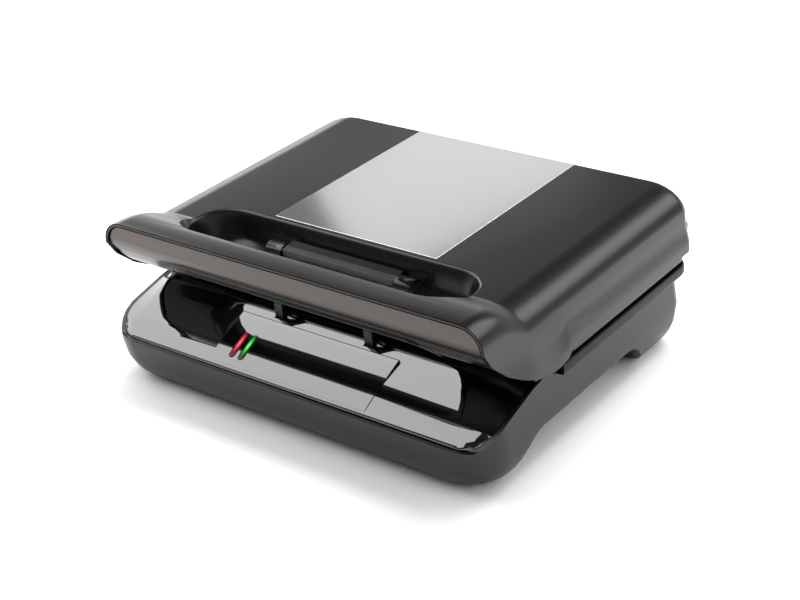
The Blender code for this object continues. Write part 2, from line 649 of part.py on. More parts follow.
def make_base_deck():
    gloss = finish("gloss_black_plastic", (0.008, 0.008, 0.009), 0.08)
    inset = HOUSING_WALL + SEAM
    half = HOUSING_HALF - inset
    back = HOUSING_BACK - inset - SEAM * 3
    rings = [outline(half - lean(z), FRONT + inset, back, FRONT_CORNER - inset, BACK_CORNER - inset, z)
             for z in (FRONT_SEAM_HEIGHT - DECK_EDGE, FRONT_SEAM_HEIGHT, DECK_TOP, LIP_TOP - OVERRUN)]
    deck = loft("base_deck", rings, gloss)
    band_bottom = DECK_TOP - BAND_HEIGHT
    band_levels = ((band_bottom, 1.0), (band_bottom + BAND_ROUND * 0.3, 0.3), (band_bottom + BAND_ROUND, 0.0),
                   (DECK_TOP - BAND_ROUND, 0.0), (DECK_TOP - BAND_ROUND * 0.3, 0.3), (DECK_TOP, 1.0))
    band_rings = [outline(HALF - share * BAND_ROUND, BAND_FRONT - FRONT_CORNER - OVERRUN,
                          BAND_BACK - share * BAND_ROUND, FRONT_CORNER, BACK_CORNER, z)
                  for z, share in band_levels]
    band_body = loft("band", band_rings)
    cut(band_body, box("band_front", (-HALF - OVERRUN, FRONT, 0.0), (HALF + OVERRUN, BAND_FRONT, LIP_TOP)))
    join(deck, band_body)
    cut(deck, deck_surface("deck_hollow", DECK_WALL, HALF - DECK_SIDE_MARGIN, FRONT + DECK_MARGIN,
                           HOUSING_BACK - HOUSING_WALL * 3, False),
        deck_surface("above_deck", 0.0, HALF + OVERRUN, FRONT - OVERRUN, BACK + OVERRUN, True),
        deck_surface("below_deck", DECK_EDGE, HALF + OVERRUN, FRONT - OVERRUN, BACK + OVERRUN, False),
        box("below_front", (-HALF, FRONT, 0.0), (HALF, FRONT + RIM_RUN, FRONT_SEAM_HEIGHT - DECK_WALL)))
    panel = [(FRONT + FASCIA_RUN * t, fascia_height(0.0, FRONT + FASCIA_RUN * t) + PANEL_PROUD * v)
             for t, v in panel_shares]
    under = [(y, fascia_height(0.0, y) - DECK_WALL / 2) for y, z in reversed(panel)]
    join(deck, slab("raised_panel", panel + under, PANEL_WIDTH / 2),
         plate_opening("deck_collar", PLATE_SEAT + COLLAR_WALL, LOWER_SEAT, DECK_TOP - DECK_WALL / 2))
    for i, (x, y) in enumerate(deck_screw_places()):
        join(deck, rod("deck_boss_%d" % i, BOSS_RADIUS, (x, y, HOUSING_FLOOR + GAP),
                       (x, y, DECK_TOP - DECK_WALL / 2), sides=14))
        cut(deck, rod("deck_pilot_%d" % i, SCREW_RADIUS + GAP, (x, y, HOUSING_FLOOR - OVERRUN),
                      (x, y, HOUSING_FLOOR + SCREW_REACH + OVERRUN), sides=10))
    cut(deck, plate_opening("deck_opening", PLATE_SEAT, 0.0, LIP_TOP))
    for side, word in ((-1, "left"), (1, "right")):
        cut(deck, tower_box("deck_notch_" + word, side, GAP, LIP_TOP),
            latch_slot("deck_slot_" + word, side, SLOT_FRONT, SLOT_BACK, 0.0, LIP_TOP),
            latch_slot("collar_notch_" + word, side, SLOT_FRONT, PLATE_FRONT - PLATE_SEAT / 2, 0.0,
                       DECK_TOP - DECK_WALL))
    for word, shift in (("red", -LENS_PITCH / 2), ("green", LENS_PITCH / 2)):
        cut(deck, pill("lens_hole_" + word, lens_place(shift - LENS_X), GAP, -LENS_HEIGHT, OVERRUN))
    return deck


def make_plate(name, up, material):
    """A cast plate with ribs, its back at the seat. The lower one faces up and the upper one down."""
    half = PLATE_WIDTH / 2
    seat = LOWER_SEAT if up > 0 else 2 * MATING - LOWER_SEAT
    face = seat + up * PLATE_THICK
    sunk = seat + up * PLATE_THICK / 2
    crest = face + up * RIB_HEIGHT
    rim = seat + up * PLATE_HEIGHT
    low, high = sorted((seat, rim))
    plate = box(name, (-half, PLATE_FRONT, low), (half, PLATE_BACK, high), material)
    field = []
    for z, inset in ((face, PLATE_RIM), (rim, PLATE_RIM / 2), (rim + up * OVERRUN, PLATE_RIM / 2)):
        field.append(outline(half - inset, PLATE_FRONT + inset, PLATE_BACK - inset, PLATE_RIM, PLATE_RIM,
                             z, 2))
    cut(plate, loft(name + "_field", field))
    first = half - PLATE_RIM * 2
    pitch = 2 * first / RIB_COUNT
    reach = (PLATE_DEPTH - DRIP_CHANNEL) / 2 - PLATE_RIM * 1.6
    ribs = []
    for i in range(RIB_COUNT):
        x = -first + pitch * (i + 0.5)
        section = [(x - RIB_FOOT / 2, sunk), (x - RIB_FOOT / 2, face), (x - RIB_CREST / 2, crest),
                   (x + RIB_CREST / 2, crest), (x + RIB_FOOT / 2, face), (x + RIB_FOOT / 2, sunk)]
        ribs.append(slab("%s_rib_%d" % (name, i), section, reach, None, PLATE_MIDDLE + DRIP_CHANNEL / 2,
                         True))
    join(plate, merged(name + "_ribs", ribs))
    for i, (x, y) in enumerate(plate_corners()):
        end = seat - up * BOSS_LENGTH
        join(plate, rod("%s_boss_%d" % (name, i), BOSS_RADIUS, (x, y, end),
                        (x, y, seat + up * PLATE_THICK / 2), sides=14))
        cut(plate, rod("%s_pilot_%d" % (name, i), SCREW_RADIUS + GAP, (x, y, end - up * OVERRUN),
                       (x, y, end + up * SCREW_PILOT_DEPTH), sides=10))
    return plate


def make_element(name, up, material):
    """A U of steel tube, clamped to the back of its plate, with its cold ends at the rear."""
    z = (LOWER_SEAT if up > 0 else 2 * MATING - LOWER_SEAT) - up * (GAP + ELEMENT_RADIUS)
    half = ELEMENT_SPREAD / 2
    front = PLATE_MIDDLE - ELEMENT_REACH / 2
    points = [(-half, PLATE_BACK - SHIELD_MARGIN + ELEMENT_TAIL, z)]
    for centre_x, start in ((-half + ELEMENT_BEND, 180), (half - ELEMENT_BEND, 270)):
        for i in range(7):
            angle = math.radians(start + 15 * i)
            points.append((centre_x + ELEMENT_BEND * math.cos(angle),
                           front + ELEMENT_BEND + ELEMENT_BEND * math.sin(angle), z))
    points.append((half, PLATE_BACK - SHIELD_MARGIN + ELEMENT_TAIL, z))
    return tube(name, points, ELEMENT_RADIUS, material)


def make_shield(name, up, material):
    """A pressed steel pan behind the plate, with a flange round its edge."""
    seat = (LOWER_SEAT if up > 0 else 2 * MATING - LOWER_SEAT) - up * (GAP + SHIELD_THICK / 2)
    rings = []
    for grow, drop in ((-SHIELD_MARGIN, SHIELD_DEPTH), (-SHIELD_MARGIN, 0.0), (SHIELD_FLANGE, 0.0)):
        corner = SHIELD_CORNER + (grow + SHIELD_MARGIN) / 2
        rings.append(outline(PLATE_WIDTH / 2 + grow, PLATE_FRONT - grow, PLATE_BACK + grow, corner, corner,
                             seat - up * drop, 3))
    shield = loft(name, rings, material, open_end=True)
    solid = shield.modifiers.new("sheet", "SOLIDIFY")
    solid.thickness = SHIELD_THICK
    solid.offset = 0.0
    for i, (x, y) in enumerate(plate_corners()):
        z = seat - up * SHIELD_DEPTH
        cut(shield, rod("%s_hole_%d" % (name, i), SCREW_RADIUS + GAP, (x, y, z - OVERRUN),
                        (x, y, z + OVERRUN), sides=12))
    for side, word in ((-1, "left"), (1, "right")):
        z = (LOWER_SEAT if up > 0 else 2 * MATING - LOWER_SEAT) - up * (GAP + ELEMENT_RADIUS)
        x = side * ELEMENT_SPREAD / 2
        y = PLATE_BACK - SHIELD_MARGIN
        cut(shield, rod("%s_tail_%s" % (name, word), ELEMENT_RADIUS + GAP, (x, y - OVERRUN, z),
                        (x, y + OVERRUN, z), sides=16))
        low, high = sorted((seat - up * OVERRUN, seat + up * OVERRUN))
        cut(shield, latch_slot("%s_latch_%s" % (name, word), side, SLOT_FRONT, PLATE_FRONT + SHIELD_THICK,
                               low, high))
    return shield


def make_plate_screws(name, up, material):
    """Four screws through a heat shield into the bosses of its plate."""
    seat = LOWER_SEAT if up > 0 else 2 * MATING - LOWER_SEAT
    head = seat - up * (GAP + SHIELD_THICK + SHIELD_DEPTH + GAP)
    tip = seat - up * (BOSS_LENGTH - SCREW_PILOT_DEPTH + GAP)
    for i, (x, y) in enumerate(plate_corners()):
        screw("%s_%d" % (name, i + 1), x, y, head, tip, material)


def make_base_internals():
    """Everything that the base holds between its housing and its deck."""
    cast = finish("non_stick_coating", (0.03, 0.03, 0.032), 0.38)
    steel = finish("aluminised_steel", (0.55, 0.55, 0.56), 0.35, 0.9)
    sheath = finish("element_sheath", (0.2, 0.19, 0.18), 0.4, 0.8)
    zinc = finish("zinc_plated_steel", (0.6, 0.6, 0.62), 0.3, 0.9)
    ceramic = finish("ceramic", (0.75, 0.72, 0.66), 0.6)
    nylon = finish("white_nylon", (0.8, 0.8, 0.77), 0.5)
    rubber = finish("black_rubber", (0.02, 0.02, 0.02), 0.8)
    make_plate("lower_grill_plate", 1, cast)
    make_element("lower_heating_element", 1, sheath)
    make_shield("lower_heat_shield", 1, steel)
    make_plate_screws("lower_plate_screw", 1, zinc)
    back = LOWER_SEAT - GAP
    rod("thermostat", THERMOSTAT_RADIUS, (-THERMOSTAT_X, PLATE_MIDDLE, back - THERMOSTAT_HEIGHT),
        (-THERMOSTAT_X, PLATE_MIDDLE, back), ceramic)
    z = back - FUSE_RADIUS
    rod("thermal_fuse", FUSE_RADIUS, (THERMOSTAT_X, PLATE_MIDDLE - FUSE_LENGTH / 2, z),
        (THERMOSTAT_X, PLATE_MIDDLE + FUSE_LENGTH / 2, z), zinc, sides=14)
    for word, x, y in pad_places():
        rod("foot_pad_" + word, PAD_RADIUS, (x, y, 0.0), (x, y, PAD_HEIGHT), rubber)
    seat = ARCH_HEIGHT - GAP
    for i, (x, y) in enumerate(deck_screw_places()):
        screw("housing_screw_%d" % (i + 1), x, y, seat, HOUSING_FLOOR + SCREW_REACH, zinc)
    for side, word in ((-1, "left"), (1, "right")):
        stop_pin("float_stop_pin_" + word, side, STOP_PIN, 0.0, zinc)
    make_inlet(rubber, nylon)


def make_inlet(rubber, nylon):
    """The bushing in the rear wall where the mains lead enters, and the block that it ends at."""
    wall = HOUSING_BACK + GAP
    bushing = rod("lead_inlet_bushing", INLET_RADIUS, (INLET_X, wall - INLET_LENGTH, INLET_Z),
                  (INLET_X, wall + INLET_RIM, INLET_Z), rubber)
    join(bushing, rod("inlet_flange", INLET_FLANGE, (INLET_X, wall, INLET_Z),
                      (INLET_X, wall + INLET_RIM / 2, INLET_Z)))
    cut(bushing, rod("inlet_bore", INLET_BORE, (INLET_X, wall - INLET_LENGTH - OVERRUN, INLET_Z),
                     (INLET_X, wall + INLET_RIM + OVERRUN, INLET_Z), sides=16))
    low = HOUSING_FLOOR + GAP
    block = box("terminal_block", (BLOCK_X - BLOCK_WIDTH / 2, BLOCK_Y - BLOCK_DEPTH / 2, low),
                (BLOCK_X + BLOCK_WIDTH / 2, BLOCK_Y + BLOCK_DEPTH / 2, low + BLOCK_HEIGHT), nylon)
    for i in range(3):
        x = BLOCK_X + (i - 1) * BLOCK_WIDTH / 3
        cut(block, rod("terminal_hole_%d" % i, BLOCK_HOLE, (x, BLOCK_Y, low + BLOCK_HEIGHT / 2),
                       (x, BLOCK_Y, low + BLOCK_HEIGHT + OVERRUN), sides=12))


def make_indicators():
    """Two lenses in the raised panel, their lamps and the board behind them."""
    red = finish("red_acrylic", (0.8, 0.03, 0.03), 0.12)
    green = finish("green_acrylic", (0.03, 0.55, 0.05), 0.12)
    glass = finish("lamp_glass", (0.9, 0.75, 0.6), 0.1)
    board_finish = finish("circuit_board", (0.35, 0.25, 0.1), 0.6)
    for word, shift, material in (("red", -LENS_PITCH / 2, red), ("green", LENS_PITCH / 2, green)):
        place = lens_place(shift - LENS_X)
        pill("lens_" + word, place, 0.0, LENS_PROUD - LENS_HEIGHT, LENS_PROUD, material)
        depth = LENS_PROUD - LENS_HEIGHT - GAP - LAMP_RADIUS
        ends = [place @ Vector((0.0, s * LAMP_LENGTH / 2, depth)) for s in (-1, 1)]
        rod("indicator_lamp_" + word, LAMP_RADIUS, ends[0], ends[1], glass, sides=14)
    place = lens_place(-LENS_X)
    high = LENS_PROUD - LENS_HEIGHT - GAP - 2 * LAMP_RADIUS - GAP
    board = box("indicator_board", (-BOARD_WIDTH / 2, -BOARD_DEPTH / 2, high - BOARD_THICK),
                (BOARD_WIDTH / 2, BOARD_DEPTH / 2, high), board_finish)
    board.matrix_world = place


def lid_top(y):
    """Height of the lid's upper face, which rises towards the lip."""
    return LID_TOP + (LIP_TOP - LID_TOP) * along(lip_shares, max((y - LIP_FRONT) / LIP_RUN, 0.0))


def chin_height(y):
    """Height of the lid's lower edge at its sides."""
    if y > LIP_FRONT + CHIN_RUN:
        return LID_SEAM
    return CHIN_BOTTOM + (LIP_TOP - CHIN_BOTTOM) * along(chin_shares, max((y - LIP_FRONT) / CHIN_RUN, 0.0))


def lid_section(y, offset, floor):
    """One upright section of the lid's outside, made smaller by offset."""
    lip = along(lip_shares, max((y - LIP_FRONT) / LIP_RUN, 0.0))
    half = LID_HALF - LIP_NARROW * lip
    radius = LID_SHOULDER + (LIP_CORNER - LID_SHOULDER) * lip
    rise = radius * (shoulder_rise_share + (1 - shoulder_rise_share) * lip)
    top = lid_top(y)
    corner = y - (LID_BACK - LID_BACK_CORNER)
    if corner > 0:
        half -= LID_BACK_CORNER - math.sqrt(max(LID_BACK_CORNER ** 2 - corner ** 2, 0.0))
    edge = y - (LID_BACK - LID_BACK_EDGE)
    if edge > 0:
        top -= LID_BACK_EDGE - math.sqrt(max(LID_BACK_EDGE ** 2 - edge ** 2, 0.0))
    wide = HALF - (HALF - half) * lip
    tail = y - (BACK - TAIL_CORNER)
    if tail > 0:
        wide -= TAIL_CORNER - math.sqrt(max(TAIL_CORNER ** 2 - tail ** 2, 0.0))
    flare_top = min(chin_height(y) + FLARE_HEIGHT, top - rise)
    if y > LID_BACK:
        share = (y - LID_BACK) / (BACK - LID_BACK)
        top = flare_top - FLARE_BLEND * share
        radius = LID_SIDE_INSET / 2
        rise = radius
        half = wide - radius
        flare_top = top - radius
    half -= offset
    wide -= offset
    top -= offset
    radius -= min(offset, radius / 2)
    rise -= min(offset, rise / 2)
    side = [(wide, floor)]
    for i in range(5):
        t = i / 4
        blend = t * t * (3 - 2 * t)
        low = flare_top - FLARE_BLEND if y <= LID_BACK else flare_top - radius
        side.append((wide + (half - wide) * blend, low + (flare_top - low) * t))
    for i in range(1, 8):
        angle = math.radians(90 * i / 7)
        side.append((half - radius + radius * math.cos(angle), top - rise + rise * math.sin(angle)))
    return [(x, y, z) for x, z in side] + [(-x, y, z) for x, z in reversed(side)]


def lid_body(name, offset, floor, front, back_gap, material=None):
    """The lid's outside, made smaller by offset."""
    rows = [LIP_FRONT + LIP_RUN * t for t, _ in lip_shares]
    rows += [LIP_FRONT + CHIN_RUN * t for t in (0.65, 0.82, 0.94, 1.0)]
    rows += [0.0] + [LID_BACK - LID_BACK_CORNER * t for t in (1.0, 0.75, 0.46, 0.3, 0.17, 0.07, 0.0)]
    rows += [LID_BACK + (BACK - LID_BACK) * t for t in (0.01, 0.4, 0.75, 1.0)]
    rings = []
    for y in rows:
        place = y
        if y > 0.0:
            place = y - back_gap
        rings.append([(px, place, pz) for px, _, pz in lid_section(y, offset, floor)])
    rings[0] = [(px, front, pz) for px, _, pz in rings[0]]
    return loft(name, rings, material)


def under_chin(name, drop):
    """The space below the lid's lower edge, seen from the side."""
    points = [(LIP_FRONT + CHIN_RUN * t, CHIN_BOTTOM - drop + (LIP_TOP - CHIN_BOTTOM) * v)
              for t, v in chin_shares]
    points = [(LIP_FRONT - OVERRUN - OVERRUN, points[0][1])] + points
    points += [(points[-1][0], LID_SEAM - drop), (BACK + OVERRUN, LID_SEAM - drop),
               (BACK + OVERRUN, HOUSING_FLOOR), (LIP_FRONT - OVERRUN - OVERRUN, HOUSING_FLOOR)]
    return slab(name, points, HALF + OVERRUN)


def well_ring(z, grow):
    """One level outline of the pocket's well, made larger by grow."""
    fall = (LID_TOP - POCKET_RIM - z) / POCKET_FALL
    front, side, back, sink = [along([(row[0], row[i]) for row in well_shares], fall) for i in range(1, 5)]
    corner = POCKET_CORNER - POCKET_SHIFT * side * 0.6 + grow
    return outline(POCKET_HALF - POCKET_SHIFT * side + grow, POCKET_FRONT - POCKET_SHIFT * front - grow,
                   POCKET_BACK - POCKET_SHIFT * back + grow, corner, corner, z - sink * grow, 5)


def pocket_well(name, grow, low, flared=False):
    """The pocket's space from a height up, made larger by grow or, flared, with its rounded rim."""
    foot = LID_TOP - POCKET_RIM
    heights = [foot - POCKET_FALL * row[0] for row in reversed(well_shares)]
    rings = [well_ring(z, grow) for z in [low] + [z for z in heights if z > low + GAP]]
    if flared:
        for share, front, side, back in flare_shares:
            corner = POCKET_CORNER + POCKET_FLARE * front
            rings.append(outline(POCKET_HALF + POCKET_FLARE * side, POCKET_FRONT - POCKET_FLARE * front,
                                 POCKET_BACK + POCKET_FLARE * back, corner, corner,
                                 foot + (LIP_TOP - foot) * share, 5))
    rings.append([(x, y, LIP_TOP + OVERRUN) for x, y, z in rings[-1]])
    return loft(name, rings)


def inlay_outline(grow):
    """Side view of the metal inlay, which turns down over the lid's rear edge."""
    middle = (LID_BACK - LID_BACK_EDGE, LID_TOP - LID_BACK_EDGE)
    outside = LID_BACK_EDGE + INLAY_PROUD + grow
    inside = LID_BACK_EDGE + INLAY_PROUD - INLAY_THICK - grow
    points = [(INLAY_FRONT - grow, LID_TOP - LID_BACK_EDGE + inside),
              (INLAY_FRONT - grow, LID_TOP - LID_BACK_EDGE + outside)]
    ends = [math.radians(90 - INLAY_TURN * i / 4) for i in range(5)]
    spare = grow / inside
    ends[-1] -= spare
    points += [(middle[0] + outside * math.cos(a), middle[1] + outside * math.sin(a)) for a in ends]
    points += [(middle[0] + inside * math.cos(a), middle[1] + inside * math.sin(a)) for a in reversed(ends)]
    return points


def round_lug(y, z, radius, foot, low):
    """Side view of a lug: a half circle on a foot."""
    points = [(y - foot, low)]
    points += [(y - radius * math.cos(math.radians(20 * i)), z + radius * math.sin(math.radians(20 * i)))
               for i in range(10)]
    return points + [(y + foot, low)]


def make_lid_shell():
    satin = finish("satin_black_plastic", (0.03, 0.03, 0.032), 0.35)
    shell = lid_body("lid_shell", 0.0, LID_FLOOR - OVERRUN, LIP_FRONT, 0.0, satin)
    cut(shell, lid_body("lid_cavity", LID_WALL, LID_FLOOR - OVERRUN - OVERRUN, LIP_FRONT - OVERRUN, LID_WALL),
        under_chin("under_chin", 0.0))
    wall = pocket_well("pocket_wall", LID_WALL, POCKET_FOOT)
    keep(wall, lid_body("pocket_limit", LID_WALL / 2, LID_FLOOR, LIP_FRONT, LID_WALL / 2))
    cut(wall, under_chin("pocket_trim", 0.0))
    join(shell, wall)
    for i, (x, y) in enumerate(deck_screw_places()):
        join(shell, rod("lid_boss_%d" % i, BOSS_RADIUS, (x, y, FRAME_BOSS_TOP + GAP),
                        (x, y, LID_TOP - LID_WALL * 2), sides=14))
        cut(shell, rod("lid_pilot_%d" % i, SCREW_RADIUS + GAP, (x, y, LID_SEAM - OVERRUN),
                       (x, y, FRAME_BOSS_TOP + SCREW_REACH + GAP), sides=10))
    cut(shell, pocket_well("pocket", 0.0, LID_TOP - POCKET_RIM - POCKET_FALL, True))
    for side, word in ((-1, "left"), (1, "right")):
        x = side * (LEVER_HALF + CHEEK_THICK / 2 + GAP)
        cheek = slab("cheek_" + word, round_lug(LEVER_Y, LEVER_Z, CHEEK_RADIUS, CHEEK_RADIUS * 1.2,
                                                POCKET_FLOOR - LID_WALL / 2), CHEEK_THICK / 2, None, x)
        join(shell, cheek)
        cut(shell, latch_slot("pocket_slot_" + word, side, LEVER_Y - CHEEK_RADIUS * 2.6,
                              LEVER_Y - CHEEK_RADIUS * 0.8, POCKET_FOOT - OVERRUN,
                              POCKET_FLOOR + OVERRUN / 2))
        cut(shell, box("hinge_notch_" + word,
                       (side * HINGE_X - NOTCH_HALF, BEZEL_FRAME_BACK - OVERRUN, HOUSING_FLOOR),
                       (side * HINGE_X + NOTCH_HALF, BACK + OVERRUN, NOTCH_TOP)))
    reach = LEVER_HALF + CHEEK_THICK * 0.7
    cut(shell, rod("latch_pin_bore", LEVER_PIN + GAP, (-reach, LEVER_Y, LEVER_Z),
                   (reach, LEVER_Y, LEVER_Z), sides=14),
        slab("inlay_seat", inlay_outline(GAP), INLAY_WIDTH / 2 + GAP))
    steel = finish("polished_steel", (0.75, 0.75, 0.76), 0.14, 1.0)
    slab("top_inlay", inlay_outline(0.0), INLAY_WIDTH / 2, steel)
    return shell


def make_lid_bezel():
    gloss = finish("gloss_black_bezel", (0.008, 0.008, 0.009), 0.08)
    low = BEZEL_FRAME_BOTTOM
    step = BEZEL_WALL
    front = PLATE_FRONT - PLATE_SEAT - COLLAR_WALL - GAP
    top = LIP_TOP - LID_WALL - SEAM
    nose = [(LIP_FRONT + NOSE_SETBACK + CHIN_RUN * t, CHIN_BOTTOM + (LIP_TOP - CHIN_BOTTOM) * v)
            for t, v in nose_shares]
    inside = [(y + step * 0.85, z + step * 0.62) for y, z in reversed(nose)]
    points = [(LIP_FRONT + NOSE_SETBACK, top)] + nose
    points += [(front - SEAM, BEZEL_PAD), (front, low), (BEZEL_FRAME_BACK, low),
               (BEZEL_FRAME_BACK, low + step), (front + step, low + step),
               (front + step - SEAM, BEZEL_PAD + step * 0.9)]
    points += inside + [(LIP_FRONT + NOSE_SETBACK + step, top)]
    bezel = slab("lid_bezel", points, HALF, gloss)
    keep(bezel, lid_body("bezel_limit", LID_WALL + SEAM, LID_FLOOR - OVERRUN - OVERRUN, LIP_FRONT - OVERRUN,
                         LID_WALL + SEAM))
    cut(bezel, pocket_well("grip_seat", LID_WALL + GAP, POCKET_FOOT - GAP),
        pocket_well("grip_opening", 0.0, LID_TOP - POCKET_RIM - POCKET_FALL))
    wide = HALF - BEZEL_SIDE_INSET
    ring_front = LIP_FRONT + CHIN_RUN + SEAM * 3
    rings = [outline(wide - inset, ring_front, BEZEL_FRAME_BACK + SEAM - inset, BAND_ROUND,
                     LID_BACK_CORNER, z, 4)
             for z, inset in ((low, BAND_ROUND), (low + BAND_ROUND / 2, BAND_ROUND * 0.3),
                              (low + BAND_ROUND, 0.0), (LID_SEAM - GAP - BAND_ROUND / 2, 0.0),
                              (LID_SEAM - GAP, BAND_ROUND / 2))]
    edge = loft("bezel_edge", rings)
    cut(edge, box("bezel_edge_inside", (-wide + step * 2, ring_front - OVERRUN, low + step / 2),
                  (wide - step * 2, BEZEL_FRAME_BACK - step, LID_TOP)))
    join(bezel, edge, plate_opening("bezel_collar", PLATE_SEAT + COLLAR_WALL, low + step / 2,
                                    2 * MATING - LOWER_SEAT))
    for i, (x, y) in enumerate(deck_screw_places()):
        join(bezel, rod("bezel_boss_%d" % i, BOSS_RADIUS + SEAM, (x, y, low + step / 2),
                        (x, y, FRAME_BOSS_TOP), sides=14))
        cut(bezel, rod("bezel_recess_%d" % i, SCREW_HEAD_RADIUS + GAP, (x, y, low - OVERRUN),
                       (x, y, low + SCREW_HEAD_HEIGHT + SEAM), sides=14),
            rod("bezel_hole_%d" % i, SCREW_RADIUS + GAP, (x, y, low), (x, y, LID_SEAM + OVERRUN), sides=10))
    cut(bezel, plate_opening("bezel_opening", PLATE_SEAT, HOUSING_FLOOR, LIP_TOP))
    for side, word in ((-1, "left"), (1, "right")):
        for end in (-1, 1):
            x = side * HINGE_X + end * (ARM_WIDTH / 2 + GAP + EAR_THICK / 2)
            ear = [(HINGE_Y - EAR_REACH, low), (HINGE_Y - EAR_REACH, low + step)]
            ear += round_lug(HINGE_Y, HINGE_Z, HINGE_EYE, HINGE_EYE, HINGE_Z)[1:-1]
            join(bezel, slab("ear_%s_%d" % (word, end), ear, EAR_THICK / 2, None, x))
        x = side * HINGE_X
        cut(bezel, box("eye_space_" + word,
                       (x - ARM_WIDTH / 2 - GAP, HINGE_Y - HINGE_EYE - SEAM, HOUSING_FLOOR),
                       (x + ARM_WIDTH / 2 + GAP, BACK, LID_TOP)),
            rod("hinge_bore_" + word, HINGE_PIN + GAP, (x - ARM_WIDTH - OVERRUN, HINGE_Y, HINGE_Z),
                (x + ARM_WIDTH + OVERRUN, HINGE_Y, HINGE_Z), sides=16),
            latch_slot("bezel_slot_" + word, side, SLOT_FRONT - SEAM * 3, SLOT_BACK - SEAM * 2, HOUSING_FLOOR,
                       POCKET_FLOOR - OVERRUN))
    return bezel


def make_lid_internals():
    """What the lid holds behind its plate, and the screws that close it."""
    cast = finish("non_stick_coating_upper", (0.03, 0.03, 0.032), 0.38)
    steel = finish("aluminised_steel_upper", (0.55, 0.55, 0.56), 0.35, 0.9)
    sheath = finish("element_sheath_upper", (0.2, 0.19, 0.18), 0.4, 0.8)
    zinc = finish("zinc_plated_steel_upper", (0.6, 0.6, 0.62), 0.3, 0.9)
    make_plate("upper_grill_plate", -1, cast)
    make_element("upper_heating_element", -1, sheath)
    make_shield("upper_heat_shield", -1, steel)
    make_plate_screws("upper_plate_screw", -1, zinc)
    seat = BEZEL_FRAME_BOTTOM + SCREW_HEAD_HEIGHT + SEAM - GAP / 2
    for i, (x, y) in enumerate(deck_screw_places()):
        screw("lid_screw_%d" % (i + 1), x, y, seat, FRAME_BOSS_TOP + SCREW_REACH - SEAM, zinc)


def make_latch():
    """The lever in the pocket, whose two legs reach down through the lid into the deck."""
    satin = finish("satin_black_lever", (0.05, 0.05, 0.05), 0.4)
    steel = finish("bright_steel_pin", (0.65, 0.65, 0.66), 0.25, 1.0)
    turn = [math.radians(a) for a in range(0, 360, 20)]
    hub = [(LEVER_Y + LEVER_HUB * math.cos(a), LEVER_Z + LEVER_HUB * math.sin(a)) for a in turn]
    lever = slab("latch_lever", hub, LEVER_HALF - GAP, satin)
    paddle = [(LEVER_Y - LEVER_HUB, LEVER_Z), (LEVER_Y - PADDLE_FRONT, LEVER_Z + PADDLE_RISE - LEVER_THICK),
              (LEVER_Y - PADDLE_FRONT, LEVER_Z + PADDLE_RISE), (LEVER_Y, LEVER_Z + PADDLE_RISE + SEAM * 2),
              (LEVER_Y + PADDLE_BACK, LEVER_Z + PADDLE_RISE + SEAM * 3),
              (LEVER_Y + PADDLE_BACK, LEVER_Z + PADDLE_RISE - LEVER_THICK / 2),
              (LEVER_Y + LEVER_HUB * 0.8, LEVER_Z)]
    join(lever, slab("paddle", paddle, LEVER_HALF - GAP))
    for side, word in ((-1, "left"), (1, "right")):
        leg = [(LEVER_Y + LEG_REACH * dy, LEVER_Z + LEG_DROP * dz) for dy, dz in leg_shares]
        join(lever, slab("leg_" + word, leg, LEVER_LEG_WIDTH / 2, None, side * LEVER_LEG_X))
    reach = LEVER_HALF + OVERRUN
    cut(lever, rod("lever_bore", LEVER_PIN + GAP, (-reach, LEVER_Y, LEVER_Z), (reach, LEVER_Y, LEVER_Z),
                   sides=14))
    reach = LEVER_HALF + CHEEK_THICK * 0.7 - GAP
    rod("latch_pin", LEVER_PIN, (-reach, LEVER_Y, LEVER_Z), (reach, LEVER_Y, LEVER_Z), steel, sides=14)


def make_hinge():
    """Two steel arms that slide up and down in the rear towers and carry the lid on pins."""
    plate = finish("black_steel", (0.05, 0.05, 0.055), 0.35, 0.7)
    steel = finish("bright_hinge_pin", (0.65, 0.65, 0.66), 0.25, 1.0)
    for side, word in ((-1, "left"), (1, "right")):
        x = side * HINGE_X
        points = [(HINGE_Y - ARM_THICK / 2, ARM_BOTTOM), (HINGE_Y - ARM_THICK / 2, HINGE_Z - HINGE_EYE)]
        points += round_lug(HINGE_Y, HINGE_Z, HINGE_EYE, HINGE_EYE, HINGE_Z)[1:-1]
        points += [(HINGE_Y + ARM_THICK / 2, HINGE_Z - HINGE_EYE), (HINGE_Y + ARM_THICK / 2, ARM_BOTTOM)]
        arm = slab("hinge_arm_" + word, points, ARM_WIDTH / 2, plate, x)
        pin_z = ARM_BOTTOM + FLOAT_TRAVEL + ARM_THICK
        play = STOP_PIN + GAP
        cut(arm, box("arm_slot_" + word, (x - play, HINGE_Y - ARM_THICK, pin_z - FLOAT_TRAVEL - play),
                     (x + play, HINGE_Y + ARM_THICK, pin_z + play)),
            rod("arm_bore_" + word, HINGE_PIN + GAP, (x - ARM_WIDTH, HINGE_Y, HINGE_Z),
                (x + ARM_WIDTH, HINGE_Y, HINGE_Z), sides=16))
        reach = ARM_WIDTH / 2 + EAR_THICK + GAP
        rod("hinge_pin_" + word, HINGE_PIN, (x - reach, HINGE_Y, HINGE_Z), (x + reach, HINGE_Y, HINGE_Z),
            steel, sides=16)


def carry(name, place, pieces, parent=None):
    """An empty on a joint's axis that carries the pieces which move about it."""
    axis = bpy.data.objects.new(name, None)
    axis.empty_display_size = HINGE_EYE
    parts.objects.link(axis)
    axis.matrix_world = Matrix.Translation(place)
    bpy.context.view_layer.update()
    for piece in pieces:
        world = piece.matrix_world.copy()
        piece.parent = axis
        piece.matrix_parent_inverse = axis.matrix_world.inverted()
        piece.matrix_world = world
    if parent:
        axis.parent = parent
        axis.matrix_parent_inverse = parent.matrix_world.inverted()
    return axis


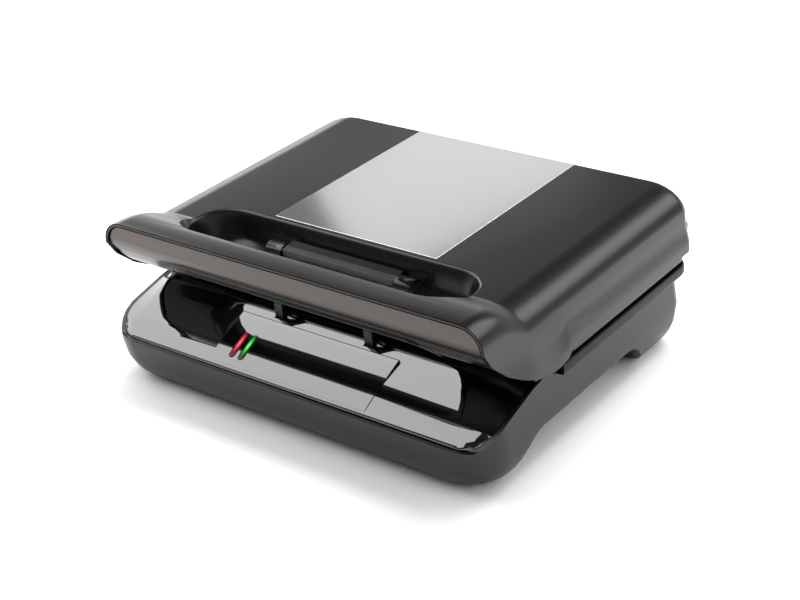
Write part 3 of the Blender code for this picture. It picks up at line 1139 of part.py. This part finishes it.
def group_bodies():
    """Hangs the arms, the lid and the latch on the axes that they move about."""
    arms = [item for item in parts.objects if item.name.startswith("hinge_")]
    latch = [parts.objects["latch_lever"]]
    lid = [item for item in parts.objects if item.name.startswith(("lid_", "upper_", "top_", "latch_pin"))]
    slide = carry("float_axis", (0.0, HINGE_Y, HINGE_Z), arms)
    hinge = carry("lid_axis", (0.0, HINGE_Y, HINGE_Z), lid, slide)
    carry("latch_axis", (0.0, LEVER_Y, LEVER_Z), latch, hinge)


clear_scene()
make_base_housing()
make_base_deck()
make_base_internals()
make_indicators()
make_lid_shell()
make_lid_bezel()
make_lid_internals()
make_latch()
make_hinge()
group_bodies()
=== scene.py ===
"""Dresses the contact grill's CAD model for a studio picture, one piece after another."""
import math

import bmesh
import bpy
from mathutils import Matrix, Vector


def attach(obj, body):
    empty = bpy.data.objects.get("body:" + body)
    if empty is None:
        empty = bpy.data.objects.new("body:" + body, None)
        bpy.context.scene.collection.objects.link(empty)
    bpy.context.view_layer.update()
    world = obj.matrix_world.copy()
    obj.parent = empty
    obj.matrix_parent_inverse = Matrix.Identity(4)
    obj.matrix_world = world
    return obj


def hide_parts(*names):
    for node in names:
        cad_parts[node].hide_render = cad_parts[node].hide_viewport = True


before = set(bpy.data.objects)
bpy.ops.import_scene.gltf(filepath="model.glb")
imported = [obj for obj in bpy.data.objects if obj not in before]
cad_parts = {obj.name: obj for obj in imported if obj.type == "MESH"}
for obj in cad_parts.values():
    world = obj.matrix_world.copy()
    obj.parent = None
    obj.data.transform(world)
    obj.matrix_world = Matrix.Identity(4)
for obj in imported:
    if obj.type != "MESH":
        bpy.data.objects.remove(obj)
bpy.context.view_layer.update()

MM = 0.001

# Camera
# It stands to the right of the front, looks down at the grill and is rolled a few degrees.
AZIMUTH = math.radians(39.66)
ELEVATION = math.radians(28.15)
ROLL = math.radians(-5.12)
STANDPOINT = Vector((565.86, -682.43, 509.27)) * MM
PICTURE_WIDTH = 800
FOCAL_PIXELS = 1622
SENSOR_WIDTH = 36.0
camera_data = bpy.data.cameras.new("studio_camera")
camera_data.sensor_width = SENSOR_WIDTH
camera_data.lens = SENSOR_WIDTH * FOCAL_PIXELS / PICTURE_WIDTH
camera = bpy.data.objects.new("studio_camera", camera_data)
bpy.context.scene.collection.objects.link(camera)
side = Vector((math.cos(AZIMUTH), math.sin(AZIMUTH), 0))
ahead = Vector((-math.sin(AZIMUTH) * math.cos(ELEVATION),
                math.cos(AZIMUTH) * math.cos(ELEVATION),
                -math.sin(ELEVATION)))
above = side.cross(ahead)
rolled_side = side * math.cos(ROLL) + above * math.sin(ROLL)
rolled_above = above * math.cos(ROLL) - side * math.sin(ROLL)
camera.matrix_world = Matrix.Translation(STANDPOINT) @ Matrix((
    (rolled_side.x, rolled_above.x, -ahead.x, 0),
    (rolled_side.y, rolled_above.y, -ahead.y, 0),
    (rolled_side.z, rolled_above.z, -ahead.z, 0),
    (0, 0, 0, 1)))
bpy.context.scene.camera = camera
bpy.context.scene.view_settings.view_transform = "Standard"


# Floor and light
# Matt white paper, pure white far off, under large soft boxes on the left, on the right,
# behind and overhead, a low strip behind on the left and a small card that the inlay mirrors.
# Gloss mirrors a room that fades from white at floor level to near black overhead.
def linear(code):
    """A colour written as six sRGB hex digits, in linear light."""
    shares = [int(code[i:i + 2], 16) / 255 for i in (0, 2, 4)]
    return tuple(c / 12.92 if c <= 0.04045 else ((c + 0.055) / 1.055) ** 2.4 for c in shares) + (1.0,)


def add_node(tree, kind, links=(), **settings):
    """Adds a node. Settings name its properties or inputs, links are (input, source) pairs."""
    node = tree.nodes.new(kind)
    for name, value in settings.items():
        if hasattr(node, name):
            setattr(node, name, value)
        else:
            node.inputs[name.replace("_", " ")].default_value = value
    for socket, source in links:
        tree.links.new(source, node.inputs[socket])
    return node


def colour_ramp(tree, source, stops):
    """A ramp from value to colour through (position, linear colour) stops."""
    ramp = add_node(tree, "ShaderNodeValToRGB", (("Fac", source),))
    ends = ramp.color_ramp.elements
    for end, (position, colour) in zip((ends[0], ends[1]), (stops[0], stops[-1])):
        end.position = position
        end.color = colour
    for position, colour in stops[1:-1]:
        ends.new(position).color = colour
    return ramp.outputs["Color"]


def finish(name, **settings):
    """A Principled material with its shader's constant values set on its own sockets."""
    made = bpy.data.materials.new(name)
    made.use_nodes = True
    shader = made.node_tree.nodes["Principled BSDF"]
    for socket, value in settings.items():
        shader.inputs[socket.replace("_", " ")].default_value = value
    return made, made.node_tree, shader


FLOOR_REACH = 4.0
WHITER_FROM = 0.6
WHITE_FROM = 1.6
FIBRE = 1.5 * MM
floor_shape = bmesh.new()
bmesh.ops.create_grid(floor_shape, x_segments=1, y_segments=1, size=FLOOR_REACH)
floor_mesh = bpy.data.meshes.new("paper_floor")
floor_shape.to_mesh(floor_mesh)
floor_shape.free()
floor = bpy.data.objects.new("paper_floor", floor_mesh)
bpy.context.scene.collection.objects.link(floor)
paper, tree, shader = finish("matt white paper", Roughness=0.9, Specular_IOR_Level=0.1)
place = add_node(tree, "ShaderNodeTexCoord")
fibres = add_node(tree, "ShaderNodeTexNoise", (("Vector", place.outputs["Object"]),),
                  Scale=1 / FIBRE, Detail=3.0)
tint = add_node(tree, "ShaderNodeMix", (("Factor", fibres.outputs["Fac"]),), data_type="RGBA")
tint.inputs["A"].default_value = linear("FAF8F7")
tint.inputs["B"].default_value = linear("FDFCFB")
tree.links.new(tint.outputs["Result"], shader.inputs["Base Color"])
distance = add_node(tree, "ShaderNodeVectorMath", ((0, place.outputs["Object"]),), operation="LENGTH")
far_off = add_node(tree, "ShaderNodeMapRange", (("Value", distance.outputs["Value"]),),
                   interpolation_type="SMOOTHSTEP", From_Min=WHITER_FROM, From_Max=WHITE_FROM)
seen = add_node(tree, "ShaderNodeLightPath")
lit = add_node(tree, "ShaderNodeMath", ((0, far_off.outputs["Result"]),
                                        (1, seen.outputs["Is Camera Ray"])), operation="MULTIPLY")
shader.inputs["Emission Color"].default_value = linear("FFFFFF")
tree.links.new(lit.outputs[0], shader.inputs["Emission Strength"])
floor_mesh.materials.append(paper)

AMBIENT = 0.25
MIRRORED_GREYS = ((0.0, 1.0), (0.26, 0.5), (0.42, 0.17), (1.0, 0.06))
world = bpy.data.worlds.new("white_room")
world.use_nodes = True
bpy.context.scene.world = world
tree = world.node_tree
room = tree.nodes["Background"]
room.inputs["Color"].default_value = linear("FFFFFF")
room.inputs["Strength"].default_value = AMBIENT
rays = add_node(tree, "ShaderNodeLightPath")
sky = add_node(tree, "ShaderNodeTexCoord")
height = add_node(tree, "ShaderNodeSeparateXYZ", (("Vector", sky.outputs["Generated"]),))
fade = colour_ramp(tree, height.outputs["Z"],
                   [(position, (grey, grey, grey, 1.0)) for position, grey in MIRRORED_GREYS])
mirrored = add_node(tree, "ShaderNodeBackground", (("Color", fade),), Strength=1.0)
shown = add_node(tree, "ShaderNodeBackground", Color=linear("FFFFFF"), Strength=1.0)
seen_through = add_node(tree, "ShaderNodeMath", ((0, rays.outputs["Is Camera Ray"]),
                                                 (1, rays.outputs["Is Transmission Ray"])),
                        operation="MAXIMUM")
around = add_node(tree, "ShaderNodeMixShader", (
    (0, rays.outputs["Is Glossy Ray"]), (1, room.outputs[0]), (2, mirrored.outputs[0])))
mixed = add_node(tree, "ShaderNodeMixShader", (
    (0, seen_through.outputs[0]), (1, around.outputs[0]), (2, shown.outputs[0])))
tree.links.new(mixed.outputs[0], tree.nodes["World Output"].inputs["Surface"])

CARD_LEAN = Vector((-0.835, 0, 0.55))
# name, place, aim, width and depth in metres, radiance, direction of the width if it leans
LIGHTS = (
    ("left_softbox", (-0.62, -0.15, 0.68), (0, -0.15, 0.06), 0.9, 1.0, 3.0, None),
    ("right_softbox", (1.3, 0.1, 0.75), (0, -0.1, 0.06), 1.2, 0.8, 2.6, None),
    ("key_softbox", (0.5, 0.75, 0.85), (0.1, 0.1, 0.05), 0.9, 0.7, 3.2, None),
    ("top_softbox", (-0.1, 0.7, 1.2), (0, 0.1, 0.05), 1.2, 0.9, 6.5, None),
    ("low_rear_box", (-1.07, 0.48, 0.27), (-0.1, -0.1, 0.1), 0.88, 0.26, 2.6, None),
    ("inlay_card", (-0.3, 0.45, 0.312), (-0.3, 0, 0.312), 0.35, 0.14, 0.61, CARD_LEAN))
NOT_MIRRORED = ("right_softbox", "top_softbox")
for name, place, aim, width, depth, radiance, lean in LIGHTS:
    lamp_data = bpy.data.lights.new(name, "AREA")
    lamp_data.shape = "RECTANGLE"
    lamp_data.size = width
    lamp_data.size_y = depth
    lamp_data.energy = radiance * math.pi * width * depth
    lamp = bpy.data.objects.new(name, lamp_data)
    bpy.context.scene.collection.objects.link(lamp)
    lamp.visible_glossy = name not in NOT_MIRRORED
    back = (Vector(place) - Vector(aim)).normalized()
    across = lean or Vector((0, 0, 1)).cross(back).normalized()
    turned = Matrix((across, back.cross(across), back)).transposed()
    lamp.matrix_world = Matrix.Translation(place) @ turned.to_4x4()


# Base housing
# The lower shell, one satin dark grey moulding with feet, an arch under its sides and a
# fine spark-eroded grain.
JOINED_WITHIN = 0.01 * MM
FLAT_WITHIN = math.radians(0.5)


def smoothed(node, body, material, sharp=32, bevel=0.0):
    """A copy of a CAD node with its triangles merged, soft across its curves, in one finish."""
    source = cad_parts[node]
    shape = bmesh.new()
    shape.from_mesh(source.data)
    bmesh.ops.remove_doubles(shape, verts=shape.verts, dist=JOINED_WITHIN)
    bmesh.ops.dissolve_limit(shape, angle_limit=FLAT_WITHIN, verts=shape.verts, edges=shape.edges)
    mesh = bpy.data.meshes.new(node + "_skin")
    shape.to_mesh(mesh)
    shape.free()
    mesh.materials.append(material)
    mesh.shade_smooth()
    mesh.set_sharp_from_angle(angle=math.radians(sharp))
    piece = bpy.data.objects.new(node + "_skin", mesh)
    bpy.context.scene.collection.objects.link(piece)
    if bevel:
        edge = piece.modifiers.new("soft_edges", "BEVEL")
        edge.width = bevel
        edge.segments = 3
        edge.limit_method = "ANGLE"
        edge.angle_limit = math.radians(sharp)
        edge.harden_normals = True
    normals = piece.modifiers.new("even_shading", "WEIGHTED_NORMAL")
    normals.keep_sharp = True
    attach(piece, body)
    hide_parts(node)
    return piece


def grained(name, colour, roughness, grain, depth, strength, **settings):
    """A finish with a fine even grain, whose size and depth are in metres.

    Gives the material, its node tree, its shader, and the nodes of its place and its pattern.
    """
    made, tree, shader = finish(name, Base_Color=linear(colour), Roughness=roughness, **settings)
    place = add_node(tree, "ShaderNodeTexCoord")
    noise = add_node(tree, "ShaderNodeTexNoise", (("Vector", place.outputs["Object"]),),
                     Scale=1 / grain, Detail=3.0)
    bump = add_node(tree, "ShaderNodeBump", (("Height", noise.outputs["Fac"]),),
                    Strength=strength, Distance=depth)
    tree.links.new(bump.outputs["Normal"], shader.inputs["Normal"])
    return made, tree, shader, place, noise


SPARK_GRAIN = 0.5 * MM
dark_pp = grained("moulded dark grey polypropylene", "0B0A0A", roughness=0.34,
                  grain=SPARK_GRAIN, depth=0.03 * MM, strength=0.12)[0]
smoothed("base_housing", "base", dark_pp)

# Base deck
# The upper moulding of the base. Its sloping fascia with the raised panel is mirror-bright
# black with a trace of moulded ripple; the seat of the cooking plate and the band round the
# sides and the rear, which lie behind it, are satin.
def vary(tree, source, shader, socket, low, high):
    """Lets a shader's value go from low to high as a pattern goes from 0 to 1."""
    value = add_node(tree, "ShaderNodeMapRange", (("Value", source),), To_Min=low, To_Max=high)
    tree.links.new(value.outputs["Result"], shader.inputs[socket])


RIPPLE = 9.0 * MM
SATIN_FROM = -56 * MM
GLOSS = 0.05
gloss_black, tree, shader, place, _ = grained(
    "high-gloss piano black ABS", "050506", roughness=GLOSS, grain=RIPPLE, depth=0.01 * MM,
    strength=0.2, Coat_Roughness=0.02, Coat_IOR=1.8)
spread = add_node(tree, "ShaderNodeSeparateXYZ", (("Vector", place.outputs["Object"]),))
behind = add_node(tree, "ShaderNodeMath", (("Value", spread.outputs["Y"]),), operation="GREATER_THAN")
behind.inputs[1].default_value = SATIN_FROM
for socket, fascia_value, satin_value in (("Roughness", GLOSS, 0.3),
                                          ("Coat Weight", 1.0, 0.0),
                                          ("Specular IOR Level", 0.5, 0.15)):
    vary(tree, behind.outputs[0], shader, socket, fascia_value, satin_value)
smoothed("base_deck", "base", gloss_black)

# Indicator lenses
# Two pill-shaped caps of coloured acrylic with lamps behind them, bright in the middle and
# dark at the rim.
LENS_GLOW = 1.1
for word, rim_colour, edge_colour, glow_colour in (("red", "4A0A10", "D23A44", "FF8088"),
                                                   ("green", "04380C", "22B233", "A8FFA0")):
    made, tree, shader = finish(word + " acrylic", Base_Color=linear(rim_colour), Roughness=0.15)
    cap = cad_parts["lens_" + word]
    corners = [cap.matrix_world @ Vector(corner) for corner in cap.bound_box]
    low = Vector([min(corner[i] for corner in corners) for i in range(3)])
    high = Vector([max(corner[i] for corner in corners) for i in range(3)])
    middle = (low + high) / 2
    half_long, half_wide = (high.y - low.y) / 2, (high.x - low.x) / 2
    place = add_node(tree, "ShaderNodeTexCoord")
    apart = add_node(tree, "ShaderNodeVectorMath", ((0, place.outputs["Object"]),),
                     operation="SUBTRACT")
    apart.inputs[1].default_value = middle
    shape = add_node(tree, "ShaderNodeVectorMath", ((0, apart.outputs[0]),), operation="MULTIPLY")
    shape.inputs[1].default_value = (1 / half_wide, 1 / half_long, 0)
    reach = add_node(tree, "ShaderNodeVectorMath", ((0, shape.outputs[0]),), operation="LENGTH")
    glow = colour_ramp(tree, reach.outputs["Value"], (
        (0.0, linear(glow_colour)), (0.45, linear(edge_colour)),
        (0.75, linear(rim_colour)), (0.92, linear("050505"))))
    tree.links.new(glow, shader.inputs["Emission Color"])
    shader.inputs["Emission Strength"].default_value = LENS_GLOW
    smoothed("lens_" + word, "base", made, bevel=0.4 * MM)

# Lid shell
# The lid's satin black moulding, with a rising front lip, an open grip pocket and the same
# fine grain as the base. The curved chin under its front corners is left out of the evened
# shading, which would show a crease there.
CHIN_BACK = -40 * MM
CHIN_INSIDE = 125 * MM
satin_abs = grained("moulded satin black ABS", "0B0B0C", roughness=0.28,
                    grain=SPARK_GRAIN, depth=0.03 * MM, strength=0.1)[0]
skin = smoothed("lid_shell", "lid", satin_abs, sharp=50)
level_parts = skin.vertex_groups.new(name="level_parts")
level_parts.add([vertex.index for vertex in skin.data.vertices
                 if vertex.co.y > CHIN_BACK or abs(vertex.co.x) < CHIN_INSIDE], 1.0, "REPLACE")
skin.modifiers["even_shading"].vertex_group = "level_parts"

# Seam round the lip
# The shell's front rim shows as a thin grey line between two unlit grooves, drawn as beads
# of black along both edges of the rim.
BEAD = 0.35 * MM
RIM_BACK = -100 * MM
CORNER_BACK = -70 * MM
CORNER_INSIDE = 128 * MM
FACES_FRONT = -0.25
FACES_UP = 0.2
seam_black = grained("unlit seam in ABS", "020202", roughness=0.6, grain=SPARK_GRAIN,
                     depth=0.03 * MM, strength=0.1, Specular_IOR_Level=0.1)[0]
shape = bmesh.new()
shape.from_mesh(skin.data)
low = [min(vertex.co[i] for vertex in shape.verts) for i in range(3)]
high = [max(vertex.co[i] for vertex in shape.verts) for i in range(3)]
low[1] -= BEAD / 3
rim = []
for face in shape.faces:
    centre = face.calc_center_median()
    at_corner = centre.y < CORNER_BACK and abs(centre.x) > CORNER_INSIDE
    if (centre.y < RIM_BACK or at_corner) and face.normal.y < FACES_FRONT and face.normal.z < FACES_UP:
        rim.append(face)
beads = bpy.data.curves.new("lip_seam", "CURVE")
beads.dimensions = "3D"
beads.bevel_depth = BEAD
beads.bevel_resolution = 1
beads.use_fill_caps = True
for face in rim:
    for loop in face.loops:
        if all(other in rim for other in loop.edge.link_faces):
            continue
        start, stop = loop.vert.co, loop.link_loop_next.vert.co
        inward = face.normal.cross(stop - start).normalized()
        line = beads.splines.new("POLY")
        line.points.add(1)
        for point, end in zip(line.points, (start, stop)):
            point.co = (end + inward * BEAD).to_tuple() + (1.0,)
shape.free()
traced = bpy.data.objects.new("lip_seam_curve", beads)
bpy.context.scene.collection.objects.link(traced)
settled = traced.evaluated_get(bpy.context.evaluated_depsgraph_get())
seam_mesh = bpy.data.meshes.new_from_object(settled)
bpy.data.objects.remove(traced)
for vertex in seam_mesh.vertices:
    vertex.co = [min(max(vertex.co[i], low[i]), high[i]) for i in range(3)]
seam_mesh.materials.clear()
seam_mesh.materials.append(seam_black)
seam_mesh.shade_smooth()
lip_seam = bpy.data.objects.new("lip_seam", seam_mesh)
bpy.context.scene.collection.objects.link(lip_seam)
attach(lip_seam, "lid")

# Lid bezel
# The frame that closes the lid below. Its slanted front face, under the lip, is black ABS with
# a painted reflection of the floor in a satin grey, fading downwards into painted shade; below that, and
# round the upper plate, it is black.
FLAKE = 0.25 * MM
SHADE_PAINTED_BELOW = 84.5 * MM
SHEEN_PAINTED_ABOVE = 88.5 * MM
PAINTED_SHEEN_GREY = "57514D"
PAINTED_SHEEN_METALLIC = 0.4
bezel_sheen_and_shade, tree, shader, place, _ = grained(
    "black ABS with painted sheen and shade", PAINTED_SHEEN_GREY, roughness=0.24, grain=FLAKE, depth=0.01 * MM, strength=0.15)
level = add_node(tree, "ShaderNodeSeparateXYZ", (("Vector", place.outputs["Object"]),))
# The grey is a painted reflection and the black under it is painted shade, blended by height.
painted_sheen_share = add_node(tree, "ShaderNodeMapRange", (("Value", level.outputs["Z"]),),
                   interpolation_type="SMOOTHSTEP", From_Min=SHADE_PAINTED_BELOW, From_Max=SHEEN_PAINTED_ABOVE)
sheen_over_shade = add_node(tree, "ShaderNodeMix", (("Factor", painted_sheen_share.outputs["Result"]),), data_type="RGBA")
sheen_over_shade.inputs["A"].default_value = linear("060606")
sheen_over_shade.inputs["B"].default_value = linear(PAINTED_SHEEN_GREY)
tree.links.new(sheen_over_shade.outputs["Result"], shader.inputs["Base Color"])
vary(tree, painted_sheen_share.outputs["Result"], shader, "Metallic", 0.0, PAINTED_SHEEN_METALLIC)
smoothed("lid_bezel", "lid", bezel_sheen_and_shade)

# Top inlay
# A bare plate of satin stainless steel, let into the lid and turned down over its rear. Its
# rolling lines run from side to side; they are drawn coarser than real ones, 0.4 mm apart.
ROLLING = 0.4 * MM
DRAWN_OUT = 50  # times as long as they are wide
steel, tree, shader = finish("satin stainless steel sheet", Base_Color=linear("E8E8E9"), Metallic=1.0)
place = add_node(tree, "ShaderNodeTexCoord")
rolled = add_node(tree, "ShaderNodeMapping", (("Vector", place.outputs["Object"]),),
                  Scale=(1 / DRAWN_OUT, 1.0, 1.0))
lines = add_node(tree, "ShaderNodeTexNoise", (("Vector", rolled.outputs[0]),),
                 Scale=1 / ROLLING, Detail=3.0)
vary(tree, lines.outputs["Fac"], shader, "Roughness", 0.1, 0.16)
smoothed("top_inlay", "lid", steel, bevel=0.25 * MM)

# Latch lever
# A lever of black plastic between two round cheeks, with fine slanted ribs for the fingers,
# on a steel pin.
WAVE_LENGTH = math.tau / 20  # of Blender's wave pattern at a scale of 1
RIB_PITCH = 1.2 * MM
RIB_SLANT = math.radians(35)
ribbed, tree, shader = finish("finely ribbed black plastic", Base_Color=linear("0E0E0F"), Roughness=0.28)
place = add_node(tree, "ShaderNodeTexCoord")
slanted = add_node(tree, "ShaderNodeMapping", (("Vector", place.outputs["Object"]),),
                   Rotation=(0, 0, RIB_SLANT))
ribs = add_node(tree, "ShaderNodeTexWave", (("Vector", slanted.outputs[0]),),
                Scale=WAVE_LENGTH / RIB_PITCH)
bump = add_node(tree, "ShaderNodeBump", (("Height", ribs.outputs["Fac"]),),
                Strength=0.5, Distance=0.2 * MM)
tree.links.new(bump.outputs["Normal"], shader.inputs["Normal"])
smoothed("latch_lever", "latch", ribbed, bevel=0.4 * MM)

# Cooking plates
# Two cast aluminium plates with a speckled non-stick coat over the casting's grain.
SPECKLE = 0.8 * MM
NON_STICK = "202022"
coat, tree, shader, place, _ = grained(
    "non-stick coat on cast aluminium", NON_STICK, roughness=0.4, grain=SPECKLE, depth=0.05 * MM,
    strength=0.2)
spots = add_node(tree, "ShaderNodeTexVoronoi", (("Vector", place.outputs["Object"]),),
                 Scale=1 / SPECKLE)
spotted = colour_ramp(tree, spots.outputs["Distance"],
                      ((0.1, linear("5A5A5C")), (0.2, linear(NON_STICK))))
tree.links.new(spotted, shader.inputs["Base Color"])
smoothed("lower_grill_plate", "base", coat, bevel=0.3 * MM)
smoothed("upper_grill_plate", "lid", coat, bevel=0.3 * MM)

# Heating elements and heat shields
# Steel sheaths with a straw to blue heat tint in bands some 25 mm long, and aluminised sheet
# with a spangle of 3 mm.
TINT_BAND = 25.0 * MM
STRAW = "7A6850"
sheath, tree, shader, _, bands = grained(
    "heat-tinted steel sheath", STRAW, roughness=0.4, grain=TINT_BAND, depth=0.02 * MM,
    strength=0.05, Metallic=1.0)
tinted = colour_ramp(tree, bands.outputs["Fac"],
                     ((0.35, linear(STRAW)), (0.65, linear("4E5360"))))
tree.links.new(tinted, shader.inputs["Base Color"])
SPANGLE = 3.0 * MM
aluminised, tree, shader = finish("aluminised steel sheet", Base_Color=linear("C2C3C5"), Metallic=1.0)
place = add_node(tree, "ShaderNodeTexCoord")
spangles = add_node(tree, "ShaderNodeTexVoronoi", (("Vector", place.outputs["Object"]),),
                    Scale=1 / SPANGLE)
flower = add_node(tree, "ShaderNodeSeparateColor", (("Color", spangles.outputs["Color"]),))
vary(tree, flower.outputs[0], shader, "Roughness", 0.3, 0.45)
for word, body in (("lower", "base"), ("upper", "lid")):
    smoothed(word + "_heating_element", body, sheath, sharp=50)
    smoothed(word + "_heat_shield", body, aluminised)

# Screws, pins and stops
# Bright zinc plate on the fasteners, ground steel on the pins, with grinding rings across
# each pin.
ZINC_MOTTLE = 2.0 * MM
BRIGHTEST_ZINC = 0.22
DULLEST_ZINC = 0.36
zinc, tree, shader, _, mottle = grained(
    "bright zinc plated steel", "C4C5C8", roughness=BRIGHTEST_ZINC, grain=ZINC_MOTTLE,
    depth=0.01 * MM, strength=0.08, Metallic=1.0)
vary(tree, mottle.outputs["Fac"], shader, "Roughness", BRIGHTEST_ZINC, DULLEST_ZINC)
for word, body in (("lid_screw", "lid"), ("upper_plate_screw", "lid"),
                   ("housing_screw", "base"), ("lower_plate_screw", "base")):
    for number in range(1, 5):
        smoothed("%s_%d" % (word, number), body, zinc)
GRINDING = 0.3 * MM
ground, tree, shader = finish("ground steel", Base_Color=linear("CDCED0"), Metallic=1.0, Roughness=0.22)
place = add_node(tree, "ShaderNodeTexCoord")
rings = add_node(tree, "ShaderNodeTexWave", (("Vector", place.outputs["Object"]),),
                 Scale=WAVE_LENGTH / GRINDING)
bump = add_node(tree, "ShaderNodeBump", (("Height", rings.outputs["Fac"]),),
                Strength=0.1, Distance=0.01 * MM)
tree.links.new(bump.outputs["Normal"], shader.inputs["Normal"])
smoothed("latch_pin", "lid", ground)
for word in ("left", "right"):
    smoothed("hinge_pin_" + word, "hinge_carriage", ground)
    smoothed("float_stop_pin_" + word, "base", ground)

# Hinge arms
# Pressed steel with a black powder coat, whose skin has the usual orange peel of about 1 mm.
PEEL = 1.0 * MM
powder = grained("black powder coat on steel", "17181A", roughness=0.45,
                 grain=PEEL, depth=0.05 * MM, strength=0.2)[0]
for word in ("left", "right"):
    smoothed("hinge_arm_" + word, "hinge_carriage", powder, bevel=0.3 * MM)

# Foot pads and lead inlet bushing
# Matt black rubber with a fine blasted skin.
RUBBER_SKIN = 0.4 * MM
rubber = grained("matt black rubber", "131313", roughness=0.8,
                 grain=RUBBER_SKIN, depth=0.04 * MM, strength=0.3)[0]
for word in ("front_left", "front_right", "rear_left", "rear_right"):
    smoothed("foot_pad_" + word, "base", rubber)
smoothed("lead_inlet_bushing", "base", rubber)

# Electrical parts
# A brown paper-phenolic board with two neon lamps, a steatite thermostat, a fuse in a steel
# case and a white nylon terminal block.
LAYER_CLOUD = 6.0 * MM
PHENOLIC = "6E4A22"
board, tree, shader, _, clouds = grained(
    "paper phenolic board", PHENOLIC, roughness=0.5, grain=LAYER_CLOUD, depth=0.01 * MM, strength=0.05)
clouded = colour_ramp(tree, clouds.outputs["Fac"],
                      ((0.35, linear(PHENOLIC)), (0.65, linear("876031"))))
tree.links.new(clouded, shader.inputs["Base Color"])
smoothed("indicator_board", "base", board)
CERAMIC_GRAIN = 0.6 * MM
steatite = grained("unglazed steatite", "D6CFC2", roughness=0.6,
                   grain=CERAMIC_GRAIN, depth=0.04 * MM, strength=0.2)[0]
smoothed("thermostat", "base", steatite, bevel=0.3 * MM)
nylon = grained("white nylon", "E2E1DC", roughness=0.45, grain=SPARK_GRAIN, depth=0.02 * MM,
                strength=0.1, Subsurface_Weight=0.2, Subsurface_Scale=1.0 * MM)[0]
smoothed("terminal_block", "base", nylon, bevel=0.3 * MM)
smoothed("thermal_fuse", "base", zinc)
GLASS_WAVE = 3.0 * MM
for word, colour in (("red", "F6B48A"), ("green", "BFF0B4")):
    bulb = grained(word + " lamp glass", colour, roughness=0.08, grain=GLASS_WAVE,
                   depth=0.03 * MM, strength=0.1, Transmission_Weight=0.7, IOR=1.5)[0]
    smoothed("indicator_lamp_" + word, "base", bulb)
